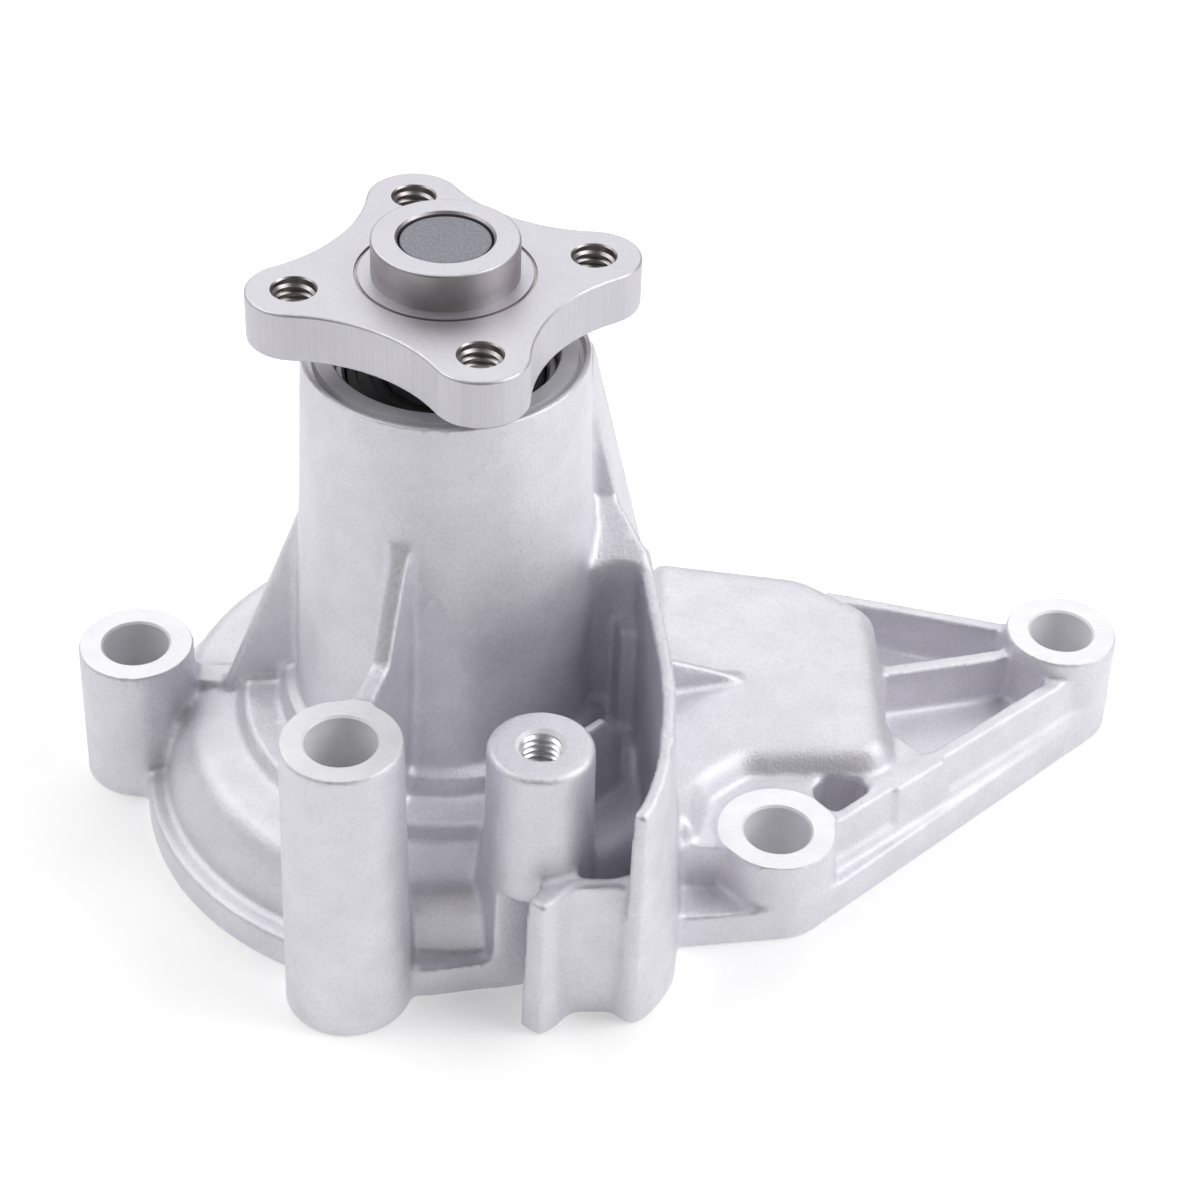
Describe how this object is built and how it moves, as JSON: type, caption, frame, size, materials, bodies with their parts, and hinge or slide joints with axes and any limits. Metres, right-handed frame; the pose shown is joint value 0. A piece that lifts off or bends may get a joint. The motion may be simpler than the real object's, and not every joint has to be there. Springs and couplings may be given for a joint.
{
  "type": "water pump",
  "caption": "Belt-driven engine coolant pump: cast aluminium body with stepped dome, bearing tower, bolt bosses and ribbed arm, lobed pulley flange and vaned impeller on a shaft.",
  "frame": {"origin": "where the shaft's axis meets the gasket face, which is the plane the pump bolts to the engine block by", "axes": "+Z along the shaft towards the pulley flange, +X towards the far bolt boss, so that the picture looks along +Y from above"},
  "size_m": [0.1562, 0.1014, 0.0943],
  "materials": {
    "cast_aluminium": "fine-grained die casting, bright where machined",
    "flange_steel": "smooth turned and broached steel",
    "shaft_steel": "dark, dull hardened steel",
    "bearing_steel": "ground bearing steel",
    "black_rubber": "dull black",
    "cage_plastic": "natural polyamide",
    "cup_brass": "drawn brass",
    "seal_carbon": "lapped carbon",
    "seal_ceramic": "lapped ceramic",
    "impeller_steel": "pressed steel"
  },
  "bodies": {
    "housing": {"pump_body": "cast_aluminium", "bearing_outer_ring": "bearing_steel", "bearing_seal_front": "black_rubber", "bearing_seal_rear": "black_rubber", "seal_cup": "cup_brass", "seal_bellows": "black_rubber", "seal_spring": "bearing_steel", "carbon_ring": "seal_carbon"},
    "rotor": {"bearing_shaft": "shaft_steel", "drive_flange": "flange_steel", "impeller": "impeller_steel", "mating_ring": "seal_ceramic", "mating_ring_boot": "black_rubber"},
    "ball_set": {"ball_cage": "cage_plastic", "ball_1": "bearing_steel", "ball_2": "bearing_steel", "ball_3": "bearing_steel", "ball_4": "bearing_steel", "ball_5": "bearing_steel", "ball_6": "bearing_steel", "ball_7": "bearing_steel", "ball_8": "bearing_steel"},
    "roller_set": {"roller_cage": "cage_plastic", "roller_1": "bearing_steel", "roller_2": "bearing_steel", "roller_3": "bearing_steel", "roller_4": "bearing_steel", "roller_5": "bearing_steel", "roller_6": "bearing_steel", "roller_7": "bearing_steel", "roller_8": "bearing_steel"}
  },
  "joints": [
    {"name": "shaft_spin", "type": "hinge", "parent": "housing", "child": "rotor", "pos_m": [0, 0, 0.05], "axis": [0, 0, 1], "continuous": true},
    {"name": "ball_set_spin", "type": "hinge", "parent": "housing", "child": "ball_set", "pos_m": [0, 0, 0.0633], "axis": [0, 0, 1], "continuous": true},
    {"name": "roller_set_spin", "type": "hinge", "parent": "housing", "child": "roller_set", "pos_m": [0, 0, 0.0463], "axis": [0, 0, 1], "continuous": true}
  ],
  "couplings": [
    {"joint": "ball_set_spin", "follows": "shaft_spin", "ratio": 0.3885},
    {"joint": "roller_set_spin", "follows": "shaft_spin", "ratio": 0.3885}
  ]
}
